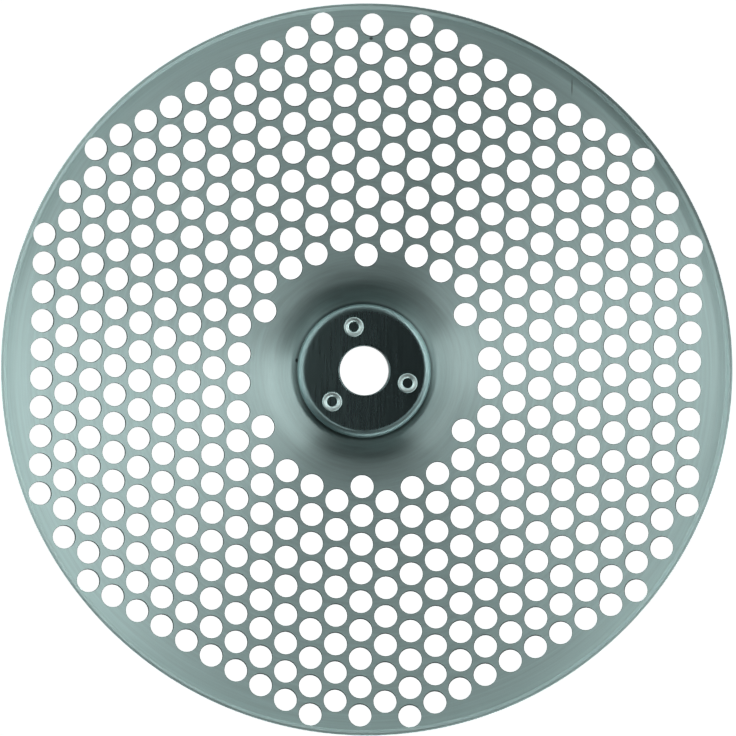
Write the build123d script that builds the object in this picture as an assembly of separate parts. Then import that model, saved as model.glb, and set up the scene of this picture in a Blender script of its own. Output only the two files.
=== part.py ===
from build123d import *
import math
import os

# Food mill sieve disc: a dished, perforated stainless sheet with a thick hub washer
# held on its concave side by tubular rivets.
# Millimetres, +Z up, axis of the disc on Z, rivet heads standing on Z = 0.

# Sieve sheet
disc_diameter = 126.0
sheet_thickness = 0.6
dish_radius = 250.0          # inner face of the dish
lip_height = 3.0             # turned-up edge, above the end of the dish
lip_angle = 85.0             # slope of the turned-up edge
lip_bend = 0.3               # inner radius of the bend below the lip
lip_edge_round = 0.25        # rounding of the lip's free edge

# Hub seat, pressed into the middle of the sheet
seat_margin = 0.8            # flat seat left round the washer
seat_depth = 0.7             # below the lowest point that the plain dish would have
funnel_width = 4.7           # plan width of the slope from the seat up to the dish
seat_bend = 2.5              # inner radius of the bend round the seat
shoulder_bend = 10.0         # inner radius where the slope meets the dish

# Sieve holes on a triangular lattice
hole_diameter = 4.0
hole_pitch = 5.0             # along the sheet
row_angle = 89.0             # direction of one row of holes, from +X
field_rows = 13              # rows of holes between the axis and a flat side of the field
lip_clearance = 0.1          # sheet left between a hole and the foot of the lip
funnel_clearance = 0.3       # sheet left between a hole and the funnel

# Hub washer
hub_diameter = 23.0
hub_thickness = 2.5
hub_edge_round = 1.0         # upper outer edge
hub_foot_round = 0.2         # lower outer edge
bore_diameter = 8.5          # through the washer and the sheet
bore_edge_round = 0.3        # upper edge of the bore

# Tubular rivets
rivet_count = 3
rivet_start = -16.2          # angle of the first rivet, from +X
rivet_offset = 0.375         # outwards from the middle of the washer's flat face
rivet_shank = 2.6
rivet_clearance = 0.02       # round the shank
rivet_head_diameter = 4.2
rivet_head_height = 0.7
rivet_head_round = 0.3
rivet_roll_diameter = 3.4    # rolled end on the washer
rivet_roll_height = 0.35
rivet_pit_diameter = 2.1     # mouth of the rivet's blind hole, flared by the setting tool
rivet_pit_floor = 0.7
rivet_pit_depth = 1.6        # below the washer's face

# Heights and radii that follow
seat_under = rivet_head_height
seat_top = seat_under + sheet_thickness
hub_top = seat_top + hub_thickness
dish_centre = seat_top + seat_depth + dish_radius
dish_middle = Vector(0, dish_centre)
hub_radius = hub_diameter / 2
bore_radius = bore_diameter / 2
seat_radius = hub_radius + seat_margin
funnel_radius = seat_radius + funnel_width
drill_length = 4 * sheet_thickness
lip_slope = math.radians(lip_angle)
lip_heading = Vector(math.cos(lip_slope), math.sin(lip_slope))
lip_normal = Vector(math.sin(lip_slope), -math.cos(lip_slope))
lip_foot_radius = disc_diameter / 2 - sheet_thickness * lip_normal.X - lip_height / math.tan(lip_slope)
rivet_circle_radius = (bore_radius + hub_radius - hub_edge_round) / 2 + rivet_offset


def dish_height(radius):
    """Height of the dish's inner face at a distance from the axis."""
    return dish_centre - math.sqrt(dish_radius ** 2 - radius ** 2)


def dish_reach(radius):
    """Distance along the sheet from the axis to a given radius."""
    return dish_radius * math.asin(radius / dish_radius)


def rivet_places():
    """The rivets' axes, evenly spaced round the bore."""
    return PolarLocations(rivet_circle_radius, rivet_count, rivet_start)


def rivet_holes(bottom, height):
    """Clearance holes for the rivets' shanks."""
    drill = Cylinder(rivet_shank / 2 + rivet_clearance, height, align=(Align.CENTER, Align.CENTER, Align.MIN))
    return [place * Pos(0, 0, bottom) * drill for place in rivet_places()]


def dish_bearing(point):
    """Direction of a point of the section from the dish's centre, in degrees."""
    return math.degrees(math.atan2(point.Y - dish_centre, point.X))


def enter_sphere(point, heading, radius):
    """Where a line in the section first comes inside a sphere about the dish's centre."""
    start = point - dish_middle
    along = start.dot(heading)
    return point - heading * (along + math.sqrt(along ** 2 - start.dot(start) + radius ** 2))


def sheet_face(depth):
    """Section line of the sheet, from bore to lip, at a depth below its inner face."""
    radius = dish_radius + depth
    funnel_slope = math.atan2(dish_height(funnel_radius) - seat_top, funnel_width)
    funnel_heading = Vector(math.cos(funnel_slope), math.sin(funnel_slope))
    lip_foot = Vector(lip_foot_radius, dish_height(lip_foot_radius)) + lip_normal * depth
    bore_edge = Vector(bore_radius, seat_top - depth)
    seat_edge = Vector(seat_radius + depth * math.tan(funnel_slope / 2), seat_top - depth)
    shoulder = enter_sphere(seat_edge, funnel_heading, radius)
    foot = enter_sphere(lip_foot, lip_heading, radius)
    dish_start = dish_bearing(shoulder)
    dish = CenterArc(dish_middle, radius, dish_start, dish_bearing(foot) - dish_start)
    lip_edge = lip_foot + lip_heading * (lip_height / lip_heading.Y)
    line = Wire([Line(bore_edge, seat_edge), Line(seat_edge, shoulder), dish, Line(foot, lip_edge)])
    bends = ((seat_edge, seat_bend + depth),
             (shoulder, shoulder_bend + sheet_thickness - depth),
             (foot, lip_bend + depth))
    for corner, bend in bends:
        line = line.fillet_2d(bend, [line.vertices().sort_by_distance(corner)[0]])
    return line


def sheet_blank():
    """The unpunched sheet: seat, funnel, dish and lip, turned about the axis."""
    inner = sheet_face(0)
    outer = sheet_face(sheet_thickness)
    section = make_face([*inner.edges(), Line(inner @ 1, outer @ 1), *outer.edges(), Line(outer @ 0, inner @ 0)])
    free_edge = section.vertices().sort_by(Axis.Y)[-2:]
    section = fillet(free_edge, lip_edge_round)
    return revolve(Plane.XZ * section, Axis.Z)


def sieve_holes():
    """Drills square to the sheet, on a hexagonal field of a triangular lattice."""
    nearest = dish_reach(funnel_radius) + funnel_clearance + hole_diameter / 2
    farthest = dish_reach(lip_foot_radius) - lip_clearance - hole_diameter / 2
    drill_side = Rectangle(hole_diameter / 2, drill_length, align=(Align.MIN, Align.CENTER))
    drill = revolve(Plane.XZ * Pos(0, -dish_radius) * drill_side, Axis.Z)
    drills = []
    for a in range(-field_rows, field_rows + 1):
        for b in range(-field_rows, field_rows + 1):
            reach = hole_pitch * math.sqrt(a * a + a * b + b * b)
            if abs(a + b) > field_rows or not nearest <= reach <= farthest:
                continue
            heading = row_angle + math.degrees(math.atan2(b * math.sin(math.pi / 3), a + b / 2))
            lean = math.degrees(reach / dish_radius)
            drills.append(Pos(0, 0, dish_centre) * Rot(0, 0, heading) * Rot(0, -lean, 0) * drill)
    return drills


def sieve_disc():
    """The finished sheet, with its sieve holes and the rivets' holes."""
    return sheet_blank() - rivet_holes(seat_under, sheet_thickness) - sieve_holes()


def hub_washer():
    """Thick washer with a rounded upper edge and the bore for the spindle."""
    section = Pos(bore_radius, seat_top) * Rectangle(hub_radius - bore_radius, hub_thickness, align=Align.MIN)
    section = fillet(section.vertices().sort_by_distance((hub_radius, hub_top))[0], hub_edge_round)
    section = fillet(section.vertices().sort_by_distance((hub_radius, seat_top))[0], hub_foot_round)
    section = fillet(section.vertices().sort_by_distance((bore_radius, hub_top))[0], bore_edge_round)
    return revolve(Plane.XZ * section, Axis.Z) - rivet_holes(seat_top, hub_thickness)


def rivet():
    """Tubular rivet on its own axis: head below, rolled end above."""
    shank_radius = rivet_shank / 2
    head_radius = rivet_head_diameter / 2
    roll_radius = rivet_roll_diameter / 2
    pit_radius = rivet_pit_diameter / 2
    pit_bottom = hub_top - rivet_pit_depth
    crest = ((pit_radius + roll_radius) / 2, hub_top + rivet_roll_height)
    below = Polyline((roll_radius, hub_top), (shank_radius, hub_top), (shank_radius, seat_under),
                     (head_radius, seat_under), (head_radius, 0), (0, 0), (0, pit_bottom),
                     (rivet_pit_floor / 2, pit_bottom), (pit_radius, hub_top))
    roll = ThreePointArc((pit_radius, hub_top), crest, (roll_radius, hub_top))
    section = make_face(Wire([*below.edges(), roll]))
    section = fillet(section.vertices().sort_by_distance((head_radius, 0))[0], rivet_head_round)
    return revolve(Plane.XZ * section, Axis.Z)


def hub_rivets():
    """All the rivets, as separate solids."""
    return Compound([place * rivet() for place in rivet_places()])


os.makedirs("parts", exist_ok=True)
export_step(sieve_disc(), "parts/sieve_disc.step")
export_step(hub_washer(), "parts/hub_washer.step")
export_step(hub_rivets(), "parts/hub_rivets.step")
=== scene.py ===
import math

import bmesh
import bpy
from mathutils import Matrix, Vector


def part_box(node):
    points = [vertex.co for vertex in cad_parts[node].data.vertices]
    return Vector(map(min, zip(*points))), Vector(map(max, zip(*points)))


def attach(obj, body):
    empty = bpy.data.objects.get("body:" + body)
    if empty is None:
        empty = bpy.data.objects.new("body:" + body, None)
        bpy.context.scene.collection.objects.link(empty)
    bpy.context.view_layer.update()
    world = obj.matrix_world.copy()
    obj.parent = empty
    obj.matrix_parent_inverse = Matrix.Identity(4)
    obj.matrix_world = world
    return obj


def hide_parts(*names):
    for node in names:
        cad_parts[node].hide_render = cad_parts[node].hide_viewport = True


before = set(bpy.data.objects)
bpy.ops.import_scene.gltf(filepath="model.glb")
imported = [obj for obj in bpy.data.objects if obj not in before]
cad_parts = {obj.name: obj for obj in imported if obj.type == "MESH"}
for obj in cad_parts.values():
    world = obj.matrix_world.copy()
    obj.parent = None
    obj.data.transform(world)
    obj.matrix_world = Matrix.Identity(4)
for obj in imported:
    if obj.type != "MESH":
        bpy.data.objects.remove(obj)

bl_info = {
    "name": "Food Mill Sieve Disc",
    "version": (1, 0, 0),
    "blender": (4, 5, 0),
    "location": "View3D > Sidebar > Sieve Disc",
    "description": "Builds a dished, perforated sieve disc with a riveted hub washer",
    "category": "Add Mesh",
}

MM = 0.001
QUARTER = math.pi / 2
BODY = "root"
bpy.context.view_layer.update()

# Heights and the washer's radius, read from the solids
SEAT_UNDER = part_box("sieve_disc")[0][2]
HUB_LOW, HUB_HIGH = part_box("hub_washer")
SEAT_TOP = HUB_LOW[2]
HUB_TOP = HUB_HIGH[2]
HUB_RADIUS = HUB_HIGH[0]
RIVET_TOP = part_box("hub_rivets")[1][2]

# How finely the round pieces are divided
HOLE_SIDES = 24
SEAT_SIDES = 144
LIP_SIDES = 240
HUB_SIDES = 192
RIVET_SIDES = 48
BEND_STEPS = 8

# Points that are closer than this are one, in metres
WELD = 1e-6

# Most values of a noise texture lie between these
NOISE_LOW = 0.3
NOISE_HIGH = 0.7


def linear(code):
    """Linear RGB of an sRGB hex colour."""
    parts = [int(code[start:start + 2], 16) / 255 for start in (1, 3, 5)]
    return [part / 12.92 if part <= 0.04045 else ((part + 0.055) / 1.055) ** 2.4 for part in parts]


def length(name, text, default):
    """Settings of a size property, with its default in millimetres."""
    return {"name": name, "description": text, "default": default * MM, "unit": "LENGTH", "precision": 5}


def angle(name, text, default):
    """Settings of an angle property, with its default in degrees."""
    return {"name": name, "description": text, "default": math.radians(default), "subtype": "ANGLE"}


def tint(name, text, default):
    """Settings of a colour property, with its default as an sRGB hex value."""
    return {"name": name, "description": text, "default": linear(default), "subtype": "COLOR"}


class SheetSettings(bpy.types.PropertyGroup):
    """Sizes and colour of the sieve sheet."""

    diameter: bpy.props.FloatProperty(**length("Diameter", "Across the lip, outside", 126.0))
    thickness: bpy.props.FloatProperty(**length("Thickness", "Of the sheet", 0.6))
    dish_radius: bpy.props.FloatProperty(**length("Dish Radius", "Of the dish's inner face", 250.0))
    lip_height: bpy.props.FloatProperty(**length("Lip Height", "Above the end of the dish", 3.0))
    lip_bend: bpy.props.FloatProperty(**length("Lip Bend", "Inner radius below the lip", 0.3))
    lip_edge: bpy.props.FloatProperty(**length("Lip Edge", "Rounding of the free edge", 0.25))
    seat_radius: bpy.props.FloatProperty(**length("Seat Radius", "Flat seat of the washer", 12.3))
    seat_depth: bpy.props.FloatProperty(**length("Seat Depth", "Below the plain dish", 0.7))
    seat_bend: bpy.props.FloatProperty(**length("Seat Bend", "Inner radius round the seat", 6.0))
    funnel_width: bpy.props.FloatProperty(**length("Funnel Width", "From the seat to the dish", 4.7))
    shoulder_bend: bpy.props.FloatProperty(**length("Shoulder Bend", "From the funnel to the dish", 10.0))
    hole_diameter: bpy.props.FloatProperty(**length("Hole Diameter", "Of one sieve hole", 4.0))
    hole_pitch: bpy.props.FloatProperty(**length("Hole Pitch", "Between holes, along the sheet", 5.0))
    hole_edge: bpy.props.FloatProperty(**length("Hole Edge", "Rounding of a punched edge", 0.08))
    lip_clearance: bpy.props.FloatProperty(**length("Lip Clearance", "From a hole to the lip", 0.1))
    funnel_clearance: bpy.props.FloatProperty(**length("Funnel Clearance", "From a hole to the funnel", 0.3))
    hole_rows: bpy.props.IntProperty(
        name="Hole Rows", description="Rows from the axis to a flat side of the field", default=13)
    lip_angle: bpy.props.FloatProperty(**angle("Lip Angle", "Slope of the lip", 85.0))
    row_angle: bpy.props.FloatProperty(**angle("Row Angle", "Direction of one row of holes", 89.0))
    colour: bpy.props.FloatVectorProperty(**tint("Colour", "Of the brushed steel", "#BCD4D2"))


class HubSettings(bpy.types.PropertyGroup):
    """Sizes and colour of the hub washer."""

    bore_diameter: bpy.props.FloatProperty(**length("Bore Diameter", "Through the washer and the sheet", 8.5))
    edge_round: bpy.props.FloatProperty(**length("Edge Round", "Upper outer edge", 1.0))
    foot_round: bpy.props.FloatProperty(**length("Foot Round", "Lower outer edge", 0.2))
    bore_round: bpy.props.FloatProperty(**length("Bore Round", "Upper edge of the bore", 0.3))
    colour: bpy.props.FloatVectorProperty(**tint("Colour", "Of the ground steel", "#9FBDBD"))


class RivetSettings(bpy.types.PropertyGroup):
    """Sizes and colour of the rivets."""

    count: bpy.props.IntProperty(name="Count", description="Rivets round the bore", default=3)
    start: bpy.props.FloatProperty(**angle("Start", "Direction of the first rivet", -16.2))
    circle_radius: bpy.props.FloatProperty(**length("Circle Radius", "Of the rivets' axes", 7.75))
    shank_diameter: bpy.props.FloatProperty(**length("Shank Diameter", "In the washer", 2.6))
    head_diameter: bpy.props.FloatProperty(**length("Head Diameter", "Below the sheet", 4.2))
    head_round: bpy.props.FloatProperty(**length("Head Round", "Lower edge of the head", 0.3))
    roll_diameter: bpy.props.FloatProperty(**length("Roll Diameter", "Rolled end on the washer", 3.4))
    roll_round: bpy.props.FloatProperty(**length("Roll Round", "Outer side of the rolled end", 0.2))
    flare_radius: bpy.props.FloatProperty(**length("Flare Radius", "Inner side of the rolled end", 0.75))
    flare_angle: bpy.props.FloatProperty(**angle("Flare Angle", "Slope where the flare ends", 75.0))
    pit_floor: bpy.props.FloatProperty(**length("Pit Floor", "Diameter at the bottom", 0.7))
    pit_depth: bpy.props.FloatProperty(**length("Pit Depth", "Below the washer's face", 1.6))
    colour: bpy.props.FloatVectorProperty(**tint("Colour", "Of the drawn steel", "#C6DAD8"))


class StageSettings(bpy.types.PropertyGroup):
    """Place of the camera and colour of the floor."""

    distance: bpy.props.FloatProperty(**length("Distance", "From the camera to the disc", 3000.0))
    view_width: bpy.props.FloatProperty(**length("View Width", "Width of the picture at the disc", 126.82))
    aim_height: bpy.props.FloatProperty(**length("Aim Height", "Point that the camera turns about", 6.0))
    aim_right: bpy.props.FloatProperty(**length("Aim Right", "Centre of the picture from that point", 0.489))
    aim_up: bpy.props.FloatProperty(**length("Aim Up", "Centre of the picture from that point", 0.386))
    lean_x: bpy.props.FloatProperty(**angle("Lean X", "Of the camera's axis towards +X", -2.87))
    lean_y: bpy.props.FloatProperty(**angle("Lean Y", "Of the camera's axis towards +Y", -1.37))
    floor_colour: bpy.props.FloatVectorProperty(**tint("Floor Colour", "Of the white floor", "#FAFAFA"))


def add(tree, kind, inputs=None, **settings):
    """Adds a node, sets its properties, then fills its inputs with values or links."""
    node = tree.nodes.new(kind)
    for name, value in settings.items():
        setattr(node, name, value)
    for key, value in (inputs or {}).items():
        if isinstance(value, bpy.types.Node):
            value = value.outputs[0]
        if isinstance(value, bpy.types.NodeSocket):
            tree.links.new(value, node.inputs[key])
        else:
            node.inputs[key].default_value = value
    return node


def new_material(name):
    """An empty node material, its tree and the output's surface socket."""
    material = bpy.data.materials.new(name)
    material.use_nodes = True
    tree = material.node_tree
    tree.nodes.clear()
    output = add(tree, "ShaderNodeOutputMaterial")
    return material, tree, output.inputs["Surface"]


def about_axis(tree):
    """Place on the object, distance from its axis and direction away from the axis."""
    place = add(tree, "ShaderNodeTexCoord").outputs["Object"]
    plan = add(tree, "ShaderNodeVectorMath", {0: place, 1: (1, 1, 0)}, operation="MULTIPLY")
    radius = add(tree, "ShaderNodeVectorMath", {0: plan}, operation="LENGTH").outputs["Value"]
    return place, radius, add(tree, "ShaderNodeVectorMath", {0: plan}, operation="NORMALIZE")


def circular_brushed_stainless(colour):
    """Cold-rolled stainless sheet, brushed in rings about its axis."""
    # It gives the eye a bow tie of light, because the rings spread light away from the axis
    ring_width = 0.45 * MM
    streak_scale = 2.2
    painted_shade_side = (0.77, 0.64, 0)
    material, tree, surface = new_material("Circular brushed stainless")
    place, radius, heading = about_axis(tree)
    # Brush lines in about 14 streaks a turn, drawn coarser than the real ones so that they show
    turn = add(tree, "ShaderNodeSeparateXYZ", {0: heading})
    across = add(tree, "ShaderNodeMath", {0: radius, 1: ring_width}, operation="DIVIDE")
    polar = add(tree, "ShaderNodeCombineXYZ", {0: turn.outputs[0], 1: turn.outputs[1], 2: across})
    streaks = add(tree, "ShaderNodeVectorMath", {0: polar, 1: (streak_scale, streak_scale, 1)}, operation="MULTIPLY")
    lines = add(tree, "ShaderNodeTexNoise", {
        "Vector": streaks, "Scale": 1.0, "Detail": 3.0, "Roughness": 0.6}).outputs["Fac"]
    bump = add(tree, "ShaderNodeBump", {"Strength": 0.08, "Distance": 0.01 * MM, "Height": lines})
    shade = add(tree, "ShaderNodeMapRange", {
        "Value": lines, "From Min": NOISE_LOW, "From Max": NOISE_HIGH, "To Min": 0.9, "To Max": 1.05})
    # The turned hub seat is smoother than the sheet outside it
    mean = add(tree, "ShaderNodeMapRange", {
        "Value": radius, "From Min": 16 * MM, "From Max": 20 * MM, "To Min": 0.4, "To Max": 0.44})
    rough = add(tree, "ShaderNodeMapRange", {
        "Value": lines, "From Min": NOISE_LOW, "From Max": NOISE_HIGH, "To Min": -0.04, "To Max": 0.04})
    rough = add(tree, "ShaderNodeMath", {0: mean, 1: rough}, operation="ADD")
    # The sheared edge of the lip is painted darker along one side as shade, and a little lighter on the rest
    side = add(tree, "ShaderNodeVectorMath", {0: heading, 1: painted_shade_side}, operation="DOT_PRODUCT")
    lip_edge_painted_shade = add(tree, "ShaderNodeMapRange", {
        "Value": side.outputs["Value"], "From Min": 0.6, "From Max": 0.95, "To Min": 1.15, "To Max": 0.45})
    # Bands between two distances from the axis, in mm, and how much of the colour is left inside and outside each
    bands = (
        (11.75, 12.1, 0.4, 1.0),      # painted contact shadow in the joint round the washer
        (12.0, 15.5, 0.84, 1.0),      # funnel
        (61.8, 62.1, 1.0, 0.78),      # duller bend below the lip
        (62.35, 62.6, 1.0, lip_edge_painted_shade),  # edge of the lip, with painted shade along one side
    )
    factors = []
    for start, stop, inside, outside in bands:
        factors.append(add(tree, "ShaderNodeMapRange", {
            "Value": radius, "From Min": start * MM, "From Max": stop * MM, "To Min": inside, "To Max": outside}))
    # The walls of the holes are torn and dull, and painted darker still as shade inside the holes
    cut = add(tree, "ShaderNodeAttribute", attribute_name="cut").outputs["Fac"]
    factors.append(add(tree, "ShaderNodeMapRange", {"Value": cut, "To Min": 1.0, "To Max": 0.2}))
    # Small dark marks of wear, in mm: centre, half widths and how much of the colour is left
    marks = ((-11.6, 1.8, 0.3, 0.45, 0.1), (0.9, 57.1, 0.4, 0.35, 0.3), (35.5, 48.8, 0.15, 1.7, 0.5))
    for x, y, wide, high, left in marks:
        aside = add(tree, "ShaderNodeVectorMath", {0: place, 1: (x * MM, y * MM, 0)}, operation="SUBTRACT")
        share = add(tree, "ShaderNodeVectorMath", {0: aside, 1: (1 / (wide * MM), 1 / (high * MM), 0)},
                    operation="MULTIPLY")
        away = add(tree, "ShaderNodeVectorMath", {0: share}, operation="LENGTH").outputs["Value"]
        factors.append(add(tree, "ShaderNodeMapRange", {
            "Value": away, "From Min": 0.5, "From Max": 1.0, "To Min": left, "To Max": 1.0}))
    for factor in factors:
        shade = add(tree, "ShaderNodeMath", {0: shade, 1: factor}, operation="MULTIPLY")
    tinted = add(tree, "ShaderNodeMix", {"Factor": 1.0, "A": (*colour, 1), "B": shade},
                 data_type="RGBA", blend_type="MULTIPLY").outputs["Result"]
    # A matt haze lies over the brush lines, mostly on the perforated part
    brushed = add(tree, "ShaderNodeBsdfPrincipled", {
        "Base Color": tinted, "Metallic": 1.0, "Roughness": rough, "Normal": bump,
        "Anisotropic": 0.95, "Tangent": heading})
    matt = add(tree, "ShaderNodeBsdfPrincipled", {"Base Color": tinted, "Metallic": 1.0, "Roughness": 0.68})
    haze = add(tree, "ShaderNodeMapRange", {
        "Value": radius, "From Min": 15 * MM, "From Max": 22 * MM, "To Min": 0.1, "To Max": 0.4})
    shader = add(tree, "ShaderNodeMixShader", {0: haze, 1: brushed, 2: matt})
    tree.links.new(shader.outputs[0], surface)
    return material


def ground_stainless(colour):
    """Ground stainless plate with a satin turned edge."""
    # It gives the eye a dark mirror with straight smears, which its edge rings in light
    line_width = 0.3 * MM
    line_length = 8.0 * MM
    along_grain = (0, 1, 0)
    material, tree, surface = new_material("Ground stainless plate")
    place, radius, heading = about_axis(tree)
    # Grinding lines, drawn coarser than the real ones so that they show
    grain = add(tree, "ShaderNodeVectorMath", {0: place, 1: (1 / line_width, 1 / line_length, 0)},
                operation="MULTIPLY")
    lines = add(tree, "ShaderNodeTexNoise", {"Vector": grain, "Scale": 1.0, "Detail": 3.0}).outputs["Fac"]
    smear = add(tree, "ShaderNodeMapRange", {
        "Value": lines, "From Min": NOISE_LOW, "From Max": NOISE_HIGH, "To Min": 0.21, "To Max": 0.29})
    # One side of the face is more worn than the other
    side = add(tree, "ShaderNodeSeparateXYZ", {0: place}).outputs[0]
    worn = add(tree, "ShaderNodeMapRange", {
        "Value": side, "From Min": -10 * MM, "From Max": 10 * MM, "To Min": 0.06, "To Max": -0.03})
    smear = add(tree, "ShaderNodeMath", {0: smear, 1: worn}, operation="ADD")
    # The turned edge is rougher, and its lines run round the axis
    edge = add(tree, "ShaderNodeMapRange", {
        "Value": radius, "From Min": 10.1 * MM, "From Max": 10.8 * MM, "To Min": 0.0, "To Max": 1.0})
    rough = add(tree, "ShaderNodeMix", {"Factor": edge, "A": smear, "B": 0.4})
    spread = add(tree, "ShaderNodeMix", {"Factor": edge, "A": along_grain, "B": heading}, data_type="VECTOR")
    # The bore's broken edge is dull, and painted darker still as shade round the bore's mouth
    dull_and_painted_shade = add(tree, "ShaderNodeMapRange", {
        "Value": radius, "From Min": 4.45 * MM, "From Max": 4.65 * MM, "To Min": 0.3, "To Max": 1.0})
    tinted = add(tree, "ShaderNodeMix", {"Factor": 1.0, "A": (*colour, 1), "B": dull_and_painted_shade},
                 data_type="RGBA", blend_type="MULTIPLY")
    shader = add(tree, "ShaderNodeBsdfPrincipled", {
        "Base Color": tinted.outputs["Result"], "Metallic": 1.0, "Roughness": rough, "Anisotropic": 0.75,
        "Tangent": spread.outputs["Result"]})
    tree.links.new(shader.outputs[0], surface)
    return material


def drawn_steel(colour):
    """Bright drawn rivet steel, burnished where the setting tool rolled it over."""
    # It gives the eye soft bright rings, a little uneven from the tool
    scuff_size = 0.4 * MM
    material, tree, surface = new_material("Bright drawn rivet steel")
    place = add(tree, "ShaderNodeTexCoord").outputs["Object"]
    scuffs = add(tree, "ShaderNodeTexNoise", {"Vector": place, "Scale": 1 / scuff_size, "Detail": 3.0})
    rough = add(tree, "ShaderNodeMapRange", {
        "Value": scuffs.outputs["Fac"], "From Min": NOISE_LOW, "From Max": NOISE_HIGH,
        "To Min": 0.36, "To Max": 0.46})
    shader = add(tree, "ShaderNodeBsdfPrincipled", {
        "Base Color": (*colour, 1), "Metallic": 1.0, "Roughness": rough})
    tree.links.new(shader.outputs[0], surface)
    return material


def white_paper(colour):
    """Seamless white paper, lit from behind like a light table."""
    # It gives the eye an even white, with no shadow below the disc
    material, tree, surface = new_material("Backlit white paper")
    shader = add(tree, "ShaderNodeBsdfPrincipled", {
        "Base Color": (*colour, 1), "Roughness": 0.9, "Specular IOR Level": 0.2,
        "Emission Color": (*colour, 1), "Emission Strength": 1.06})
    tree.links.new(shader.outputs[0], surface)
    return material


def arc(centre, radius, start, stop, facing=1):
    """Section points with normals on an arc. Its angle is the slope of the sheet there."""
    points = []
    for step in range(BEND_STEPS + 1):
        slope = start + (stop - start) * step / BEND_STEPS
        outward = Vector((math.sin(slope), -math.cos(slope)))
        points.append((centre + outward * radius, outward * facing))
    return points


def lathe(bm, section, sides, closed=False):
    """Turns a section of points and normals about Z, and keeps each point's normal."""
    layer = bm.verts.layers.float_vector.get("outward") or bm.verts.layers.float_vector.new("outward")
    rings = []
    for point, normal in section:
        ring = []
        for side in range(sides):
            turn = math.tau * side / sides
            cosine = math.cos(turn)
            sine = math.sin(turn)
            vert = bm.verts.new((point.x * cosine, point.x * sine, point.y))
            vert[layer] = (normal.x * cosine, normal.x * sine, normal.y)
            ring.append(vert)
        rings.append(ring)
    if closed:
        rings.append(rings[0])
    for ring, following in zip(rings, rings[1:]):
        for side in range(sides):
            after = (side + 1) % sides
            bm.faces.new((ring[side], following[side], following[after], ring[after]))


def finish_mesh(bm, mesh, material):
    """Welds a mesh, turns its faces outwards and gives it the normals that its pieces keep."""
    bmesh.ops.remove_doubles(bm, verts=bm.verts, dist=WELD)
    bmesh.ops.dissolve_degenerate(bm, dist=WELD, edges=bm.edges)
    bmesh.ops.recalc_face_normals(bm, faces=bm.faces)
    for face in bm.faces:
        face.smooth = True
        face.material_index = 0
    # A point without a kept normal holds a zero there, and gets the mean of its faces
    layer = bm.verts.layers.float_vector.get("outward")
    bm.normal_update()
    normals = [vert[layer].normalized() if vert[layer].length > 0.5 else vert.normal.copy() for vert in bm.verts]
    bm.verts.layers.float_vector.remove(layer)
    bm.to_mesh(mesh)
    bm.free()
    mesh.materials.clear()
    mesh.materials.append(material)
    mesh.normals_split_custom_set_from_vertices(normals)


def new_piece(name, mesh, node):
    """Adds a finished piece to the scene in place of a solid."""
    piece = bpy.data.objects.new(name, mesh)
    bpy.context.collection.objects.link(piece)
    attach(piece, BODY)
    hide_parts(node)


def node_group(name, sizes):
    """A geometry tree with named inputs. Gives the tree, its inputs and its output node."""
    tree = bpy.data.node_groups.new(name, "GeometryNodeTree")
    tree.interface.new_socket("Geometry", in_out="OUTPUT", socket_type="NodeSocketGeometry")
    tree.interface.new_socket("Geometry", in_out="INPUT", socket_type="NodeSocketGeometry")
    for size in sizes:
        kind = "NodeSocketInt" if isinstance(sizes[size], int) else "NodeSocketFloat"
        tree.interface.new_socket(size, in_out="INPUT", socket_type=kind)
    return tree, add(tree, "NodeGroupInput").outputs, add(tree, "NodeGroupOutput").inputs["Geometry"]


def run_nodes(mesh, tree, sizes):
    """Runs a geometry tree on a mesh and returns the result as a plain mesh."""
    carrier = bpy.data.objects.new(tree.name, mesh)
    bpy.context.collection.objects.link(carrier)
    modifier = carrier.modifiers.new(tree.name, "NODES")
    modifier.node_group = tree
    for item in tree.interface.items_tree:
        if item.in_out == "INPUT" and item.name in sizes:
            modifier[item.identifier] = sizes[item.name]
    evaluated = carrier.evaluated_get(bpy.context.evaluated_depsgraph_get())
    result = bpy.data.meshes.new_from_object(evaluated)
    bpy.data.objects.remove(carrier)
    if not result.polygons:
        raise RuntimeError(tree.name + " has no faces")
    return result


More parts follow.
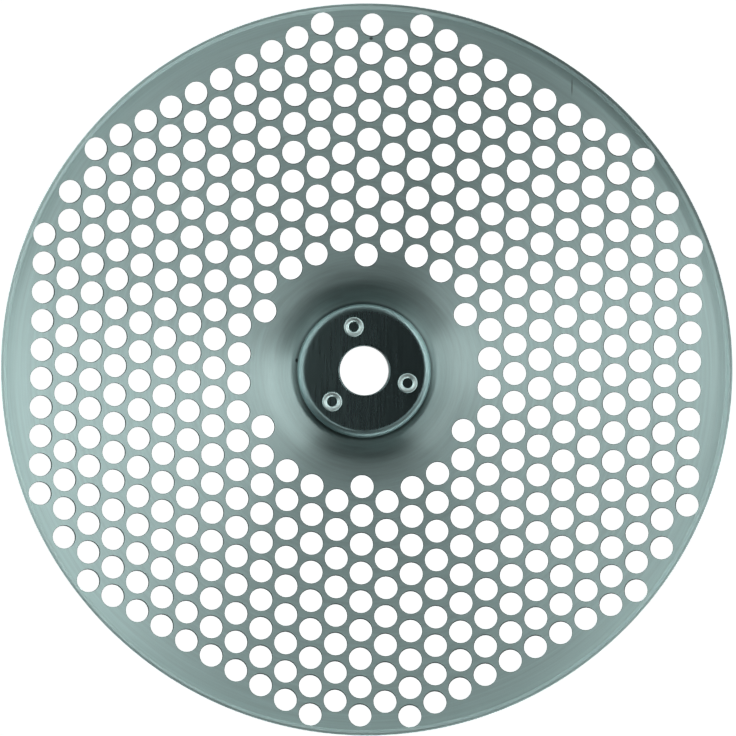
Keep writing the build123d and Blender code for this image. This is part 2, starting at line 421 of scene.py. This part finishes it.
class SheetSection:
    """Where the sheet's bends lie in its section, with the axis at 0."""

    def __init__(self, sheet, hub):
        self.sheet = sheet
        self.bore = hub.bore_diameter / 2
        self.centre = Vector((0, SEAT_TOP + sheet.seat_depth + sheet.dish_radius))
        self.lip_heading = Vector((math.cos(sheet.lip_angle), math.sin(sheet.lip_angle)))
        self.lip_normal = Vector((math.sin(sheet.lip_angle), -math.cos(sheet.lip_angle)))
        lean = sheet.lip_height / math.tan(sheet.lip_angle)
        self.lip_radius = sheet.diameter / 2 - sheet.thickness * self.lip_normal.x - lean
        self.lip_foot = Vector((self.lip_radius, self.dish_height(self.lip_radius)))
        self.funnel_radius = sheet.seat_radius + sheet.funnel_width
        rise = self.dish_height(self.funnel_radius) - SEAT_TOP
        self.slope = math.atan2(rise, sheet.funnel_width)
        heading = Vector((math.cos(self.slope), math.sin(self.slope)))
        below = Vector((math.sin(self.slope), -math.cos(self.slope)))
        seat_edge = Vector((sheet.seat_radius, SEAT_TOP))
        self.outer_shoulder = sheet.shoulder_bend + sheet.thickness
        inset = sheet.seat_bend * math.tan(self.slope / 2)
        self.seat_centre = seat_edge + Vector((-inset, sheet.seat_bend))
        self.shoulder_centre = self.enter_sphere(
            seat_edge + below * self.outer_shoulder, heading, sheet.dish_radius + self.outer_shoulder)
        self.lip_centre = self.enter_sphere(
            self.lip_foot - self.lip_normal * sheet.lip_bend, self.lip_heading, sheet.dish_radius - sheet.lip_bend)
        self.dish_start = self.dish_slope(self.shoulder_centre)
        self.dish_stop = self.dish_slope(self.lip_centre)

    def dish_height(self, radius):
        """Height of the dish's inner face at a distance from the axis."""
        return self.centre.y - math.sqrt(self.sheet.dish_radius ** 2 - radius ** 2)

    def dish_reach(self, radius):
        """Distance along the sheet from the axis to a given radius."""
        return self.sheet.dish_radius * math.asin(radius / self.sheet.dish_radius)

    def dish_slope(self, point):
        """Slope of the dish in line with a point of the section."""
        return math.atan2(point.x, self.centre.y - point.y)

    def enter_sphere(self, point, heading, radius):
        """Where a line in the section first comes inside a sphere about the dish's centre."""
        start = point - self.centre
        along = start.dot(heading)
        return point - heading * (along + math.sqrt(along ** 2 - start.dot(start) + radius ** 2))

    def seat(self):
        """From the dish's inner face down to the bore, and back along the outer face."""
        sheet = self.sheet
        edge = sheet.hole_edge
        top = Vector((self.bore + edge, SEAT_TOP - edge))
        bottom = Vector((self.bore + edge, SEAT_TOP - sheet.thickness + edge))
        return [
            *arc(self.shoulder_centre, -self.outer_shoulder, self.dish_start, self.slope, -1),
            *arc(self.seat_centre, sheet.seat_bend, self.slope, 0, -1),
            *arc(top, edge, 2 * QUARTER, 3 * QUARTER),
            *arc(bottom, edge, -QUARTER, 0),
            *arc(self.seat_centre, sheet.seat_bend + sheet.thickness, 0, self.slope),
            *arc(self.shoulder_centre, -sheet.shoulder_bend, self.slope, self.dish_start),
        ]

    def lip(self):
        """From the dish's inner face up to the free edge, and back along the outer face."""
        sheet = self.sheet
        edge = sheet.lip_edge
        tip = self.lip_foot + self.lip_heading * (sheet.lip_height / self.lip_heading.y - edge)
        turned = sheet.lip_angle
        return [
            *arc(self.lip_centre, sheet.lip_bend, self.dish_stop, turned, -1),
            *arc(tip + self.lip_normal * edge, edge, turned + 2 * QUARTER, turned + QUARTER),
            *arc(tip + self.lip_normal * (sheet.thickness - edge), edge, turned + QUARTER, turned),
            *arc(self.lip_centre, sheet.lip_bend + sheet.thickness, turned, self.dish_stop),
        ]


def perforated_dish(sizes, material):
    """Geometry tree: a flat ring with a lattice of round holes, bent to a dish."""
    tree, size, output = node_group("Perforated dish", sizes)
    # Lattice places, numbered along two rows of holes
    count = add(tree, "ShaderNodeMath", {0: size["Hole Rows"], 1: 2.0, 2: 1.0}, operation="MULTIPLY_ADD")
    span = add(tree, "ShaderNodeMath", {0: size["Hole Rows"], 1: 2.0}, operation="MULTIPLY")
    grid = add(tree, "GeometryNodeMeshGrid", {"Size X": span, "Size Y": span, "Vertices X": count, "Vertices Y": count})
    index = add(tree, "ShaderNodeSeparateXYZ", {0: add(tree, "GeometryNodeInputPosition")})
    along = add(tree, "ShaderNodeMath", {0: index.outputs[1], 1: 0.5, 2: index.outputs[0]}, operation="MULTIPLY_ADD")
    aside = add(tree, "ShaderNodeMath", {0: index.outputs[1], 1: math.sin(math.pi / 3)}, operation="MULTIPLY")
    unit = add(tree, "ShaderNodeCombineXYZ", {0: along, 1: aside})
    turned = add(tree, "ShaderNodeVectorRotate", {"Vector": unit, "Angle": size["Row Angle"]}, rotation_type="Z_AXIS")
    place = add(tree, "ShaderNodeVectorMath", {0: turned, "Scale": size["Hole Pitch"]}, operation="SCALE")
    reach = add(tree, "ShaderNodeVectorMath", {0: place}, operation="LENGTH").outputs["Value"]
    third = add(tree, "ShaderNodeMath", {0: index.outputs[0], 1: index.outputs[1]}, operation="ADD")
    third = add(tree, "ShaderNodeMath", {0: third}, operation="ABSOLUTE")
    edge_row = add(tree, "ShaderNodeMath", {0: size["Hole Rows"], 1: 0.5}, operation="ADD")
    outside = add(tree, "FunctionNodeCompare", {0: third, 1: edge_row}, data_type="FLOAT", operation="GREATER_THAN")
    near = add(tree, "FunctionNodeCompare", {0: reach, 1: size["Nearest"]}, data_type="FLOAT", operation="LESS_THAN")
    far = add(tree, "FunctionNodeCompare", {0: reach, 1: size["Farthest"]}, data_type="FLOAT", operation="GREATER_THAN")
    either = add(tree, "FunctionNodeBooleanMath", {0: near, 1: far}, operation="OR")
    unwanted = add(tree, "FunctionNodeBooleanMath", {0: either, 1: outside}, operation="OR")
    kept = add(tree, "GeometryNodeDeleteGeometry", {"Geometry": grid, "Selection": unwanted}, domain="POINT")
    centres = add(tree, "GeometryNodeSetPosition", {"Geometry": kept, "Position": place})
    # The flat upper face, filled between two rims and the holes' mouths
    bore = add(tree, "ShaderNodeMath", {0: size["Hole Diameter"], 1: 0.5}, operation="MULTIPLY")
    mouth = add(tree, "ShaderNodeMath", {0: bore, 1: size["Hole Edge"]}, operation="ADD")
    ring = add(tree, "GeometryNodeCurvePrimitiveCircle", {"Resolution": HOLE_SIDES, "Radius": mouth})
    rings = add(tree, "GeometryNodeInstanceOnPoints", {"Points": centres, "Instance": ring})
    rings = add(tree, "GeometryNodeRealizeInstances", {"Geometry": rings})
    inner = add(tree, "GeometryNodeCurvePrimitiveCircle", {"Resolution": SEAT_SIDES, "Radius": size["Inner Rim"]})
    outer = add(tree, "GeometryNodeCurvePrimitiveCircle", {"Resolution": LIP_SIDES, "Radius": size["Outer Rim"]})
    outlines = add(tree, "GeometryNodeJoinGeometry")
    for curve in (rings, inner, outer):
        tree.links.new(curve.outputs[0], outlines.inputs[0])
    upper = add(tree, "GeometryNodeFillCurve", {"Curve": outlines})
    down = add(tree, "ShaderNodeMath", {0: size["Thickness"], 1: -1.0}, operation="MULTIPLY")
    drop = add(tree, "ShaderNodeCombineXYZ", {2: down})
    lower = add(tree, "GeometryNodeFlipFaces", {"Mesh": upper})
    lower = add(tree, "GeometryNodeTransform", {"Geometry": lower, "Translation": drop})
    # The wall of one hole: mouth, bore, bore and mouth, from a cylinder of 4 rings at whole steps
    wall = add(tree, "GeometryNodeMeshCylinder", {
        "Vertices": HOLE_SIDES, "Side Segments": 3, "Radius": 1.0, "Depth": 3.0}, fill_type="NONE").outputs["Mesh"]
    spot = add(tree, "GeometryNodeInputPosition")
    level = add(tree, "ShaderNodeSeparateXYZ", {0: spot}).outputs[2]
    height = add(tree, "ShaderNodeMath", {0: level}, operation="ABSOLUTE")
    at_mouth = add(tree, "FunctionNodeCompare", {0: height, 1: 1.0}, data_type="FLOAT", operation="GREATER_THAN")
    half = add(tree, "ShaderNodeMath", {0: size["Thickness"], 1: 0.5}, operation="MULTIPLY")
    inset = add(tree, "ShaderNodeMath", {0: half, 1: size["Hole Edge"]}, operation="SUBTRACT")
    width = add(tree, "GeometryNodeSwitch", {"Switch": at_mouth, "False": bore, "True": mouth}, input_type="FLOAT")
    rise = add(tree, "GeometryNodeSwitch", {"Switch": at_mouth, "False": inset, "True": half}, input_type="FLOAT")
    side = add(tree, "ShaderNodeMath", {0: level}, operation="SIGN")
    depth = add(tree, "ShaderNodeMath", {0: side, 1: rise}, operation="MULTIPLY")
    depth = add(tree, "ShaderNodeMath", {0: depth, 1: half}, operation="SUBTRACT")
    round_place = add(tree, "ShaderNodeVectorMath", {0: spot, "Scale": width}, operation="SCALE")
    round_place = add(tree, "ShaderNodeSeparateXYZ", {0: round_place})
    wall_place = add(tree, "ShaderNodeCombineXYZ", {0: round_place.outputs[0], 1: round_place.outputs[1], 2: depth})
    wall = add(tree, "GeometryNodeSetPosition", {"Geometry": wall, "Position": wall_place})
    wall = add(tree, "GeometryNodeFlipFaces", {"Mesh": wall})
    wall = add(tree, "GeometryNodeStoreNamedAttribute", {"Geometry": wall, "Name": "cut", "Value": 1.0},
               data_type="FLOAT", domain="FACE")
    walls = add(tree, "GeometryNodeInstanceOnPoints", {"Points": centres, "Instance": wall})
    flat = add(tree, "GeometryNodeJoinGeometry")
    for part in (upper, lower, walls):
        tree.links.new(part.outputs[0], flat.inputs[0])
    flat = add(tree, "GeometryNodeRealizeInstances", {"Geometry": flat})
    flat = add(tree, "GeometryNodeMergeByDistance", {"Geometry": flat, "Distance": WELD})
    # Distance from the axis becomes a turn about the dish's centre
    spot = add(tree, "GeometryNodeInputPosition")
    plan = add(tree, "ShaderNodeVectorMath", {0: spot, 1: (1, 1, 0)}, operation="MULTIPLY")
    heading = add(tree, "ShaderNodeVectorMath", {0: plan}, operation="NORMALIZE")
    distance = add(tree, "ShaderNodeVectorMath", {0: plan}, operation="LENGTH").outputs["Value"]
    turn = add(tree, "ShaderNodeMath", {0: distance, 1: size["Dish Radius"]}, operation="DIVIDE")
    level = add(tree, "ShaderNodeSeparateXYZ", {0: spot}).outputs[2]
    arm = add(tree, "ShaderNodeMath", {0: size["Dish Radius"], 1: level}, operation="SUBTRACT")
    sine = add(tree, "ShaderNodeMath", {0: turn}, operation="SINE")
    cosine = add(tree, "ShaderNodeMath", {0: turn}, operation="COSINE")
    outwards = add(tree, "ShaderNodeMath", {0: arm, 1: sine}, operation="MULTIPLY")
    fall = add(tree, "ShaderNodeMath", {0: arm, 1: cosine}, operation="MULTIPLY")
    top = add(tree, "ShaderNodeMath", {0: size["Dish Centre"], 1: fall}, operation="SUBTRACT")
    lift = add(tree, "ShaderNodeCombineXYZ", {2: top})
    bent = add(tree, "ShaderNodeVectorMath", {0: heading, "Scale": outwards}, operation="SCALE")
    bent = add(tree, "ShaderNodeVectorMath", {0: bent, 1: lift}, operation="ADD")
    dish = add(tree, "GeometryNodeSetPosition", {"Geometry": flat, "Position": bent})
    dish = add(tree, "GeometryNodeSetMaterial", {"Geometry": dish, "Material": material})
    tree.links.new(dish.outputs[0], output)
    return tree


class OBJECT_OT_sieve_sheet(bpy.types.Operator):
    """Builds the dished, perforated sheet with its hub seat and lip"""

    bl_idname = "object.sieve_sheet"
    bl_label = "Sieve Sheet"

    def execute(self, context):
        sheet = context.scene.sieve_sheet
        section = SheetSection(sheet, context.scene.sieve_hub)
        half_hole = sheet.hole_diameter / 2
        sizes = {
            "Hole Rows": sheet.hole_rows,
            "Hole Pitch": sheet.hole_pitch,
            "Hole Diameter": sheet.hole_diameter,
            "Hole Edge": sheet.hole_edge,
            "Row Angle": sheet.row_angle,
            "Nearest": section.dish_reach(section.funnel_radius) + sheet.funnel_clearance + half_hole,
            "Farthest": section.dish_reach(section.lip_radius) - sheet.lip_clearance - half_hole,
            "Inner Rim": section.dish_start * sheet.dish_radius,
            "Outer Rim": section.dish_stop * sheet.dish_radius,
            "Thickness": sheet.thickness,
            "Dish Radius": sheet.dish_radius,
            "Dish Centre": section.centre.y,
        }
        material = circular_brushed_stainless(sheet.colour)
        tree = perforated_dish(sizes, material)
        mesh = run_nodes(bpy.data.meshes.new("sieve_sheet"), tree, sizes)
        bm = bmesh.new()
        bm.from_mesh(mesh)
        # Points on the two faces of the dish keep the dish's own normal
        layer = bm.verts.layers.float_vector.new("outward")
        centre = Vector((0, 0, section.centre.y))
        for vert in bm.verts:
            arm = centre - vert.co
            if abs(arm.length - sheet.dish_radius) < WELD:
                vert[layer] = arm.normalized()
            elif abs(arm.length - sheet.dish_radius - sheet.thickness) < WELD:
                vert[layer] = -arm.normalized()
        lathe(bm, section.seat(), SEAT_SIDES)
        lathe(bm, section.lip(), LIP_SIDES)
        finish_mesh(bm, mesh, material)
        new_piece("sieve_sheet", mesh, "sieve_disc")
        return {"FINISHED"}


class OBJECT_OT_sieve_hub(bpy.types.Operator):
    """Builds the thick hub washer with its rounded edge and bore"""

    bl_idname = "object.sieve_hub"
    bl_label = "Hub Washer"

    def execute(self, context):
        hub = context.scene.sieve_hub
        bore = hub.bore_diameter / 2
        edge = hub.edge_round
        foot = hub.foot_round
        mouth = hub.bore_round
        section = [
            *arc(Vector((bore + foot, SEAT_TOP + foot)), foot, 0, -QUARTER),
            *arc(Vector((bore + mouth, HUB_TOP - mouth)), mouth, -QUARTER, -2 * QUARTER),
            *arc(Vector((HUB_RADIUS - edge, HUB_TOP - edge)), edge, 2 * QUARTER, QUARTER),
            *arc(Vector((HUB_RADIUS - foot, SEAT_TOP + foot)), foot, QUARTER, 0),
        ]
        mesh = bpy.data.meshes.new("hub_plate")
        bm = bmesh.new()
        lathe(bm, section, HUB_SIDES, closed=True)
        finish_mesh(bm, mesh, ground_stainless(hub.colour))
        new_piece("hub_plate", mesh, "hub_washer")
        return {"FINISHED"}


def rivet_ring(sizes, material):
    """Geometry tree: copies of one rivet, evenly spaced about the axis."""
    tree, size, output = node_group("Rivet ring", sizes)
    circle = add(tree, "GeometryNodeMeshCircle", {"Vertices": size["Count"], "Radius": size["Circle Radius"]})
    facing = add(tree, "ShaderNodeCombineXYZ", {2: size["Start"]})
    circle = add(tree, "GeometryNodeTransform", {"Geometry": circle, "Rotation": facing})
    rivets = add(tree, "GeometryNodeInstanceOnPoints", {"Points": circle, "Instance": size["Geometry"]})
    rivets = add(tree, "GeometryNodeRealizeInstances", {"Geometry": rivets})
    rivets = add(tree, "GeometryNodeSetMaterial", {"Geometry": rivets, "Material": material})
    tree.links.new(rivets.outputs[0], output)
    return tree


class OBJECT_OT_sieve_rivets(bpy.types.Operator):
    """Builds the tubular rivets that hold the washer"""

    bl_idname = "object.sieve_rivets"
    bl_label = "Rivets"

    def execute(self, context):
        rivet = context.scene.sieve_rivets
        head = rivet.head_diameter / 2
        shank = rivet.shank_diameter / 2
        roll = rivet.roll_diameter / 2
        edge = rivet.head_round
        rolled = rivet.roll_round
        flare = rivet.flare_radius
        floor = HUB_TOP - rivet.pit_depth
        down, up, outward, inward = (Vector(way) for way in ((0, -1), (0, 1), (1, 0), (-1, 0)))
        # The rolled end turns over at its crest, outwards sharply and into the pit gently
        over = roll - rolled
        section = [
            (Vector((0, 0)), down),
            *arc(Vector((head - edge, edge)), edge, 0, QUARTER),
            (Vector((head, SEAT_UNDER)), outward),
            (Vector((shank, SEAT_UNDER)), outward),
            (Vector((shank, HUB_TOP)), outward),
            (Vector((roll, HUB_TOP)), outward),
            *arc(Vector((over, RIVET_TOP - rolled)), rolled, QUARTER, 2 * QUARTER),
            *arc(Vector((over, RIVET_TOP - flare)), flare, 2 * QUARTER, 2 * QUARTER + rivet.flare_angle),
            (Vector((rivet.pit_floor / 2, floor)), inward),
            (Vector((0, floor)), up),
        ]
        one = bpy.data.meshes.new("rivet")
        bm = bmesh.new()
        lathe(bm, section, RIVET_SIDES)
        steel = drawn_steel(rivet.colour)
        finish_mesh(bm, one, steel)
        sizes = {"Count": rivet.count, "Circle Radius": rivet.circle_radius, "Start": rivet.start}
        mesh = run_nodes(one, rivet_ring(sizes, steel), sizes)
        new_piece("hub_rivet_set", mesh, "hub_rivets")
        return {"FINISHED"}


def paper_floor(colour):
    """The white floor, which shines by itself so that it is evenly white also below the disc."""
    half = 6.0
    floor = bpy.data.meshes.new("floor")
    floor.from_pydata([(-half, -half, 0), (half, -half, 0), (half, half, 0), (-half, half, 0)], [], [(0, 1, 2, 3)])
    floor.materials.append(white_paper(colour))
    plane = bpy.data.objects.new("floor", floor)
    # The steel mirrors the dimmer ground of the world below instead of the shining paper
    plane.visible_glossy = False
    bpy.context.collection.objects.link(plane)


def soft_box(name, azimuth, width, power):
    """A narrow soft box, one metre away and 30 degrees off the axis, that faces the disc."""
    polar = math.radians(30)
    height = 0.2
    light = bpy.data.lights.new(name, "AREA")
    light.shape = "RECTANGLE"
    light.size = width
    light.size_y = height
    light.energy = power
    place = Vector((math.cos(azimuth) * math.sin(polar), math.sin(azimuth) * math.sin(polar), math.cos(polar)))
    lamp = bpy.data.objects.new(name, light)
    lamp.location = place
    lamp.rotation_euler = (-place).to_track_quat("-Z", "Y").to_euler()
    lamp.visible_camera = False
    lamp.visible_diffuse = False
    bpy.context.collection.objects.link(lamp)


def studio_world(scene):
    """White walls at the horizon, a dark ceiling above and a dim ground below."""
    wall_light = 5.2
    ceiling_light = 0.02
    ground_share = 0.12
    world = bpy.data.worlds.new("Studio")
    scene.world = world
    world.use_nodes = True
    tree = world.node_tree
    tree.nodes.clear()
    heading = add(tree, "ShaderNodeTexCoord").outputs["Generated"]
    level = add(tree, "ShaderNodeSeparateXYZ", {0: heading}).outputs[2]
    glow = add(tree, "ShaderNodeMapRange", {
        "Value": level, "From Min": 0.15, "From Max": 0.45, "To Min": wall_light, "To Max": ceiling_light})
    ground = add(tree, "ShaderNodeMapRange", {
        "Value": level, "From Min": -0.03, "From Max": 0.0, "To Min": ground_share, "To Max": 1.0})
    glow = add(tree, "ShaderNodeMath", {0: glow, 1: ground}, operation="MULTIPLY")
    # One corner is dark above its foot, and the far wall is dimmer: direction, start and end of the dimming, share left
    foot = add(tree, "ShaderNodeMapRange", {
        "Value": level, "From Min": 0.03, "From Max": 0.2, "To Min": 0.9, "To Max": 0.0})
    for direction, start, end, share in (((-0.62, -0.785, 0), 0.7, 0.95, foot), ((0, 1, 0), 0.3, 0.9, 0.7)):
        facing = add(tree, "ShaderNodeVectorMath", {0: heading, 1: direction}, operation="DOT_PRODUCT")
        wall = add(tree, "ShaderNodeMapRange", {
            "Value": facing.outputs["Value"], "From Min": start, "From Max": end, "To Min": 1.0, "To Max": share})
        glow = add(tree, "ShaderNodeMath", {0: glow, 1: wall}, operation="MULTIPLY")
    sky = add(tree, "ShaderNodeBackground", {"Color": (1, 1, 1, 1), "Strength": glow})
    add(tree, "ShaderNodeOutputWorld", {"Surface": sky})
    # The paper shines by itself, so the walls don't light it
    world.cycles_visibility.diffuse = False


def long_lens(stage):
    """The camera, far above the disc and leaning a little off its axis."""
    camera = bpy.data.objects.new("camera", bpy.data.cameras.new("camera"))
    camera.data.sensor_width = 36.0
    camera.data.lens = camera.data.sensor_width * stage.distance / stage.view_width
    camera.data.clip_end = 20.0
    towards = Vector((math.tan(stage.lean_x), math.tan(stage.lean_y), 1)).normalized()
    right = Vector((0, 1, 0)).cross(towards).normalized()
    up = towards.cross(right)
    aim = Vector((0, 0, stage.aim_height)) + right * stage.aim_right + up * stage.aim_up
    camera.matrix_world = Matrix((
        (right.x, up.x, towards.x, aim.x + towards.x * stage.distance),
        (right.y, up.y, towards.y, aim.y + towards.y * stage.distance),
        (right.z, up.z, towards.z, aim.z + towards.z * stage.distance),
        (0, 0, 0, 1),
    ))
    return camera


class OBJECT_OT_sieve_stage(bpy.types.Operator):
    """Adds the floor, the light and the camera"""

    bl_idname = "object.sieve_stage"
    bl_label = "Stage"

    def execute(self, context):
        stage = context.scene.sieve_stage
        paper_floor(stage.floor_colour)
        # Two wide soft boxes, to the left and right of the camera
        soft_box("left_box", math.radians(163.5), 0.9, 1.92)
        soft_box("right_box", math.radians(20.5), 0.54, 1.9)
        studio_world(context.scene)
        camera = long_lens(stage)
        context.collection.objects.link(camera)
        context.scene.camera = camera
        context.scene.view_settings.view_transform = "Standard"
        return {"FINISHED"}


class VIEW3D_PT_sieve_disc(bpy.types.Panel):
    """Sidebar panel of the sieve disc"""

    bl_idname = "VIEW3D_PT_sieve_disc"
    bl_label = "Sieve Disc"
    bl_space_type = "VIEW_3D"
    bl_region_type = "UI"
    bl_category = "Sieve Disc"

    def draw(self, context):
        for step, settings in zip(STEPS, GROUPS):
            column = self.layout.column(align=True)
            column.operator(step.bl_idname)
            group = getattr(context.scene, settings)
            for name in group.bl_rna.properties.keys():
                if name not in {"rna_type", "name"}:
                    column.prop(group, name)


STEPS = (OBJECT_OT_sieve_sheet, OBJECT_OT_sieve_hub, OBJECT_OT_sieve_rivets, OBJECT_OT_sieve_stage)
GROUPS = {
    "sieve_sheet": SheetSettings,
    "sieve_hub": HubSettings,
    "sieve_rivets": RivetSettings,
    "sieve_stage": StageSettings,
}
CLASSES = (*GROUPS.values(), *STEPS, VIEW3D_PT_sieve_disc)


def register():
    for item in CLASSES:
        bpy.utils.register_class(item)
    for name, group in GROUPS.items():
        setattr(bpy.types.Scene, name, bpy.props.PointerProperty(type=group))


def unregister():
    for name in GROUPS:
        delattr(bpy.types.Scene, name)
    for item in reversed(CLASSES):
        bpy.utils.unregister_class(item)


def main():
    register()
    bpy.ops.object.sieve_sheet()
    bpy.ops.object.sieve_hub()
    bpy.ops.object.sieve_rivets()
    bpy.ops.object.sieve_stage()


if __name__ == "__main__":
    main()
